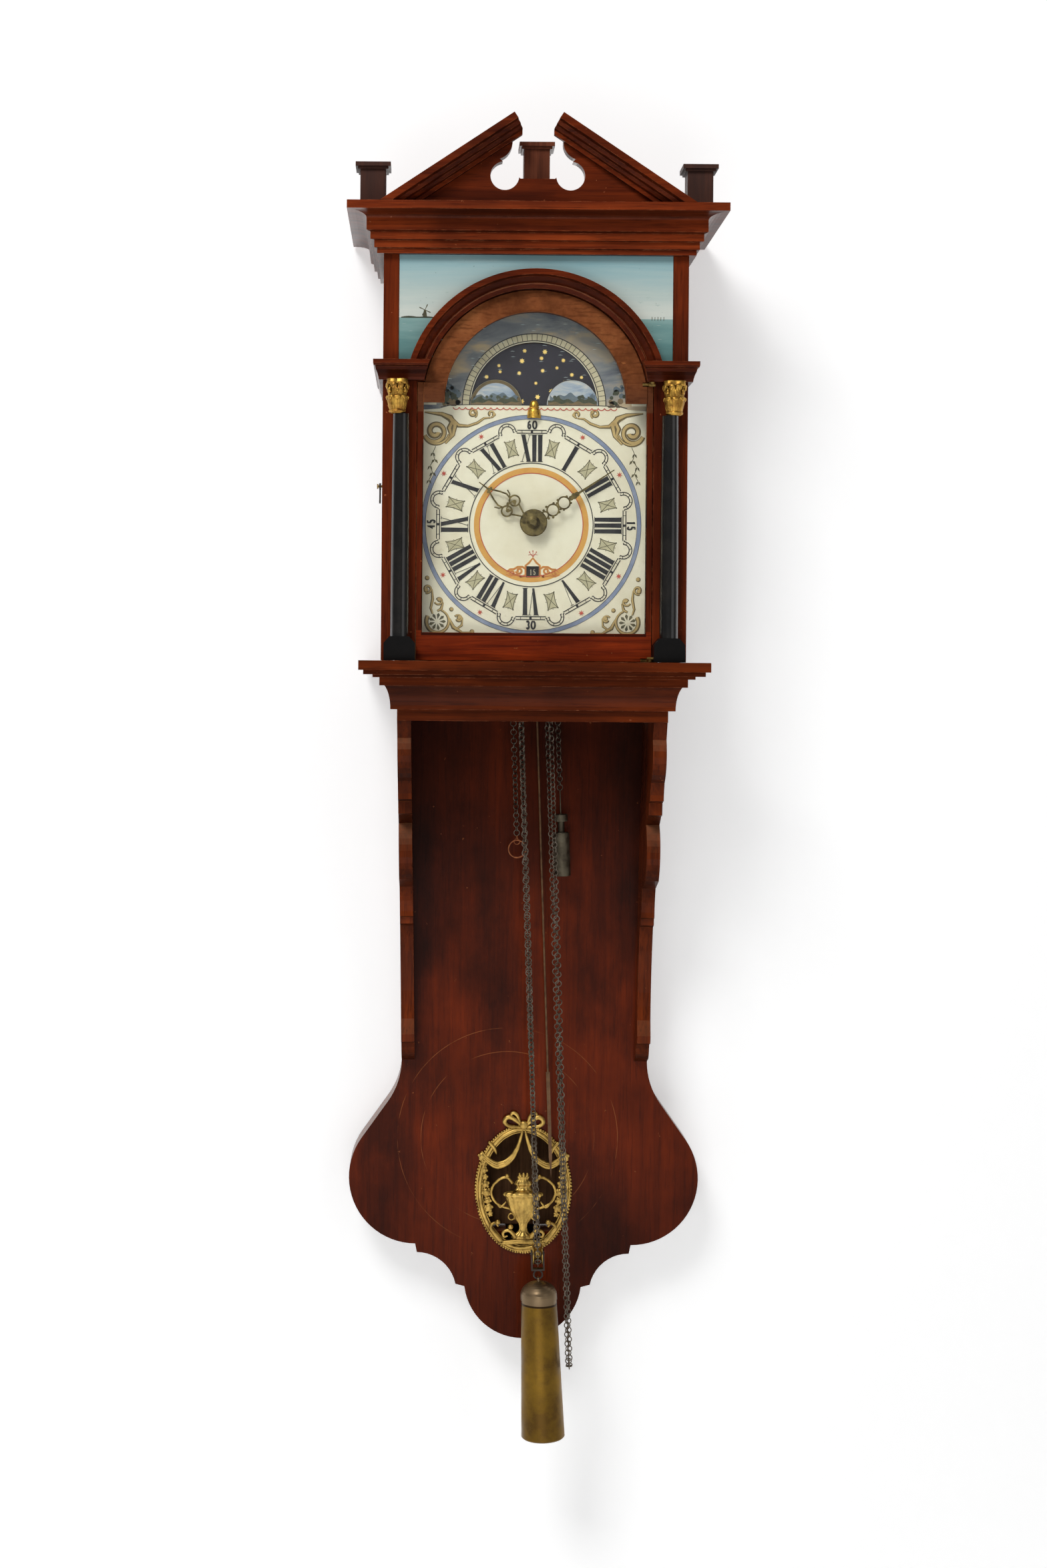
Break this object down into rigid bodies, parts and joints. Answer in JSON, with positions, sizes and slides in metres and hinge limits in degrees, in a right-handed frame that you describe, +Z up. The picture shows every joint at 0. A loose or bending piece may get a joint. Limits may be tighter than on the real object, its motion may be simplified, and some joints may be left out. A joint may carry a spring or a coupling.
{
  "type": "dutch wall clock",
  "caption": "Tall wall clock: arched hood with broken pediment and side columns over a moulded base, lobed tail board with brackets, pendulum, and a brass weight on an endless chain.",
  "frame": {"origin": "centre of the iron hanging eye at the wall, which the clock hangs from", "axes": "+Z up along the tall case, +Y into the wall along the eye's bore, +X to the right of someone who faces the dial; the dial looks along -Y"},
  "size_m": [0.396, 0.2223, 1.4072],
  "materials": {
    "hood_wood": "reddish mahogany stain, waxed",
    "case_wood": "darker mahogany stain, worn, with scratches",
    "door_oak": "worn orange oak and stained rails",
    "plain_wood": "unpainted dark softwood",
    "plinth_wood": "dark brown stain",
    "ebony_paint": "glossy black paint",
    "gilding": "worn gilding on carved wood",
    "panel_paint": "painted seascape with a misty sky",
    "ornament_brass": "pierced gilt brass, rubbed",
    "dial_paint": "cream painted sheet iron with numerals",
    "moon_paint": "midnight blue paint with gilt dots",
    "date_paint": "black paint with light figures",
    "pointer_gilt": "gilt",
    "hand_brass": "old dull brass",
    "movement_brass": "polished brass wheels",
    "movement_iron": "forged iron frame, dark",
    "hinge_brass": "plain brass",
    "wire_iron": "dark iron wire",
    "chain_iron": "dark iron links",
    "copper_wire": "copper wire ring on dark iron links",
    "weight_brass": "tarnished olive brown brass",
    "lead": "cast lead, matt grey",
    "pane": "thin window glass"
  },
  "bodies": {
    "case": {"backboard": "plain_wood", "hanging_plate": "wire_iron", "tail_front_board": "case_wood", "tail_rim": "case_wood", "left_bracket": "case_wood", "right_bracket": "case_wood", "base_slab": "case_wood", "base_cornice": "case_wood", "seat_board": "plain_wood", "tail_ornament": "ornament_brass", "dial_plate": "dial_paint", "moon_pointer": "pointer_gilt", "movement_frame": "movement_iron", "bell": "movement_brass", "slack_chain": "chain_iron", "weight_chain": "chain_iron", "alarm_chain": "chain_iron"},
    "hood": {"hood_front_frame": "hood_wood", "hood_left_side": "hood_wood", "hood_right_side": "hood_wood", "painted_panel": "panel_paint", "arch_moulding": "hood_wood", "columns": "ebony_paint", "capitals": "gilding", "column_bases": "ebony_paint", "top_cornice": "hood_wood", "pediment_board": "hood_wood", "raking_mouldings": "hood_wood", "plinths": "plinth_wood", "hood_pins": "hinge_brass", "right_pane": "pane"},
    "front_door": {"front_door": "door_oak", "front_glass": "pane", "door_straps": "hinge_brass"},
    "side_door": {"side_door": "hood_wood", "side_glass": "pane"},
    "side_hook": {"side_hook": "wire_iron"},
    "minute": {"centre_wheel": "movement_brass", "minute_hand": "hand_brass", "hand_disc": "hand_brass"},
    "motion": {"motion_wheel": "movement_brass"},
    "hour": {"hour_wheel": "movement_brass", "hour_hand": "hand_brass"},
    "moon": {"moon_disc": "moon_paint"},
    "date": {"date_ring": "date_paint"},
    "great": {"great_wheel": "movement_brass"},
    "third": {"third_wheel": "movement_brass"},
    "escape": {"escape_wheel": "movement_brass"},
    "anchor": {"anchor": "movement_iron"},
    "pendulum": {"pendulum": "wire_iron"},
    "strike_great": {"strike_great_wheel": "movement_brass"},
    "strike_pins": {"strike_pin_wheel": "movement_brass"},
    "strike_fly": {"strike_fly": "movement_brass"},
    "hammer": {"hammer": "movement_iron"},
    "main_weight": {"main_weight": "weight_brass", "weight_stirrup": "wire_iron"},
    "pulley": {"weight_pulley": "movement_brass"},
    "alarm_wheel": {"alarm_wheel": "movement_brass"},
    "pull_chain": {"pull_chain": "copper_wire"},
    "alarm_weight": {"alarm_weight": "lead"}
  },
  "joints": [
    {"name": "hood_slide", "type": "slide", "parent": "case", "child": "hood", "axis": [0, -1, 0], "range_m": [0, 0.2]},
    {"name": "front_door_hinge", "type": "hinge", "parent": "hood", "child": "front_door", "pos_m": [0.121, -0.197, -0.242], "axis": [0, 0, 1], "range_deg": [0, 90]},
    {"name": "side_door_hinge", "type": "hinge", "parent": "hood", "child": "side_door", "pos_m": [-0.155, -0.0238, -0.242], "axis": [0, 0, -1], "range_deg": [0, 95]},
    {"name": "side_hook_pivot", "type": "hinge", "parent": "hood", "child": "side_hook", "pos_m": [-0.1624, -0.165, -0.208], "axis": [1, 0, 0], "range_deg": [-90, 70]},
    {"name": "minute_arbor", "type": "hinge", "parent": "case", "child": "minute", "pos_m": [0, -0.13, -0.245], "axis": [0, 1, 0], "continuous": true},
    {"name": "motion_arbor", "type": "hinge", "parent": "case", "child": "motion", "pos_m": [-0.017, -0.147, -0.26194], "axis": [0, 1, 0], "continuous": true},
    {"name": "hour_pipe", "type": "hinge", "parent": "case", "child": "hour", "pos_m": [0, -0.155, -0.245], "axis": [0, 1, 0], "continuous": true},
    {"name": "moon_arbor", "type": "hinge", "parent": "case", "child": "moon", "pos_m": [0, -0.151, -0.126], "axis": [0, 1, 0], "continuous": true},
    {"name": "date_turn", "type": "hinge", "parent": "case", "child": "date", "pos_m": [0, -0.149, -0.245], "axis": [0, 1, 0], "continuous": true},
    {"name": "great_arbor", "type": "hinge", "parent": "case", "child": "great", "pos_m": [0, -0.125, -0.297], "axis": [0, 1, 0], "continuous": true},
    {"name": "third_arbor", "type": "hinge", "parent": "case", "child": "third", "pos_m": [0.022, -0.12, -0.2212], "axis": [0, 1, 0], "continuous": true},
    {"name": "escape_arbor", "type": "hinge", "parent": "case", "child": "escape", "pos_m": [0, -0.12, -0.2089], "axis": [0, 1, 0], "continuous": true},
    {"name": "pendulum_swing", "type": "hinge", "parent": "case", "child": "pendulum", "pos_m": [0, -0.056, -0.179], "axis": [0, 1, 0], "range_deg": [-2.5, 2.5]},
    {"name": "anchor_swing", "type": "hinge", "parent": "case", "child": "anchor", "pos_m": [0, -0.1, -0.188], "axis": [0, 1, 0], "range_deg": [-2.5, 2.5]},
    {"name": "strike_great_arbor", "type": "hinge", "parent": "case", "child": "strike_great", "pos_m": [0, -0.09, -0.297], "axis": [0, 1, 0], "continuous": true},
    {"name": "strike_pin_arbor", "type": "hinge", "parent": "case", "child": "strike_pins", "pos_m": [0, -0.09, -0.245], "axis": [0, 1, 0], "continuous": true},
    {"name": "strike_fly_arbor", "type": "hinge", "parent": "case", "child": "strike_fly", "pos_m": [0.022, -0.085, -0.2212], "axis": [0, 1, 0], "continuous": true},
    {"name": "hammer_arbor", "type": "hinge", "parent": "case", "child": "hammer", "pos_m": [0.038, -0.1, -0.192], "axis": [0, 1, 0], "range_deg": [0, 10], "stiffness_Nm_per_rad": 0.02, "springref_deg": -11.46},
    {"name": "main_weight_travel", "type": "slide", "parent": "case", "child": "main_weight", "axis": [-0.0384, 0, 0.9993], "range_m": [0, 0.36], "deforming": ["weight_chain"]},
    {"name": "pulley_turn", "type": "hinge", "parent": "main_weight", "child": "pulley", "pos_m": [0.01322, -0.1055, -1.033], "axis": [0.9993, 0, 0.0384], "continuous": true},
    {"name": "alarm_wheel_turn", "type": "hinge", "parent": "case", "child": "alarm_wheel", "pos_m": [0.0037, -0.066, -0.332], "axis": [0, 1, 0], "range_deg": [-190, 0]},
    {"name": "alarm_pull", "type": "slide", "parent": "case", "child": "pull_chain", "axis": [0.0384, 0, -0.9993], "range_m": [0, 0.08]},
    {"name": "alarm_weight_travel", "type": "slide", "parent": "case", "child": "alarm_weight", "axis": [-0.0384, 0, 0.9993], "range_m": [0, 0.08], "deforming": ["alarm_chain"]}
  ],
  "couplings": [
    {"joint": "great_arbor", "follows": "minute_arbor", "ratio": -0.16667},
    {"joint": "third_arbor", "follows": "minute_arbor", "ratio": -8},
    {"joint": "escape_arbor", "follows": "minute_arbor", "ratio": 64},
    {"joint": "motion_arbor", "follows": "minute_arbor", "ratio": -0.25},
    {"joint": "hour_pipe", "follows": "minute_arbor", "ratio": 0.083333},
    {"joint": "moon_arbor", "follows": "minute_arbor", "ratio": 0.00070547},
    {"joint": "date_turn", "follows": "minute_arbor", "ratio": 0.0013441},
    {"joint": "anchor_swing", "follows": "pendulum_swing", "ratio": 1},
    {"joint": "strike_pin_arbor", "follows": "strike_great_arbor", "ratio": -6},
    {"joint": "strike_fly_arbor", "follows": "strike_great_arbor", "ratio": 48},
    {"joint": "alarm_wheel_turn", "follows": "alarm_pull", "rad_per_m": -40.816},
    {"joint": "alarm_weight_travel", "follows": "alarm_pull", "ratio": 1}
  ]
}
